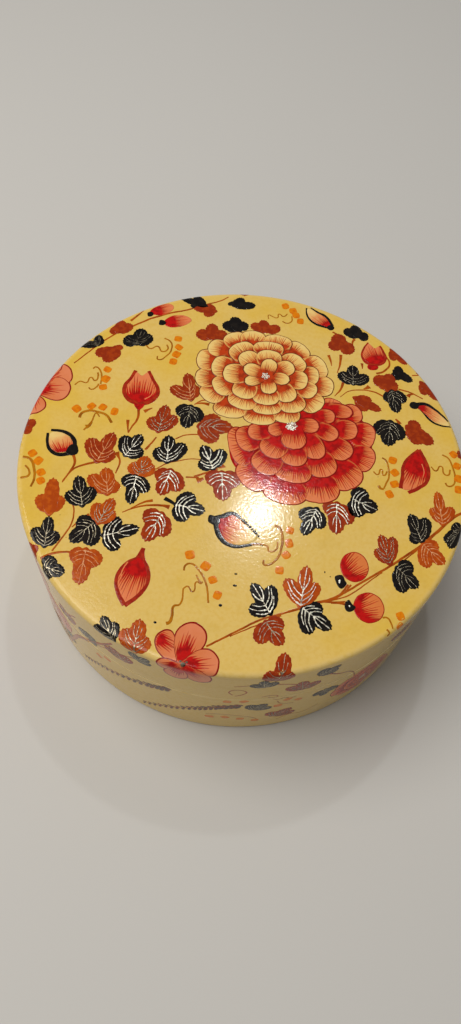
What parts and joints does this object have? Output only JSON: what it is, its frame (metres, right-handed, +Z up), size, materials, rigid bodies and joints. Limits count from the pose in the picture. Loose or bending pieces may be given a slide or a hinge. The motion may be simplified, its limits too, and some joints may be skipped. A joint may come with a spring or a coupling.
{
  "type": "round lidded box",
  "caption": "Round flat-topped box with a lift-off lid that fits over an inner collar, painted with trailing leaves and flowers.",
  "frame": {"origin": "centre of the underside, on the surface that the box stands on", "axes": "+Z up through the middle of the lid; the painted design reads upright from -Y"},
  "size_m": [0.152, 0.152, 0.06],
  "materials": {
    "painted_ground": "gloss",
    "inside_paint": "satin",
    "leaf_black": "gloss",
    "leaf_russet": "gloss",
    "flower_red": "gloss",
    "flower_cream": "gloss",
    "berry_orange": "gloss",
    "line_brown": "gloss",
    "gilt": "satin"
  },
  "bodies": {
    "base": {"base_board": "painted_ground", "base_band": "painted_ground", "base_collar": "inside_paint"},
    "lid": {"lid_board": "painted_ground", "lid_band": "painted_ground"}
  },
  "joints": [
    {"name": "lid_lift", "type": "slide", "parent": "base", "child": "lid", "axis": [0, 0, 1], "range_m": [0, 0.08]}
  ]
}
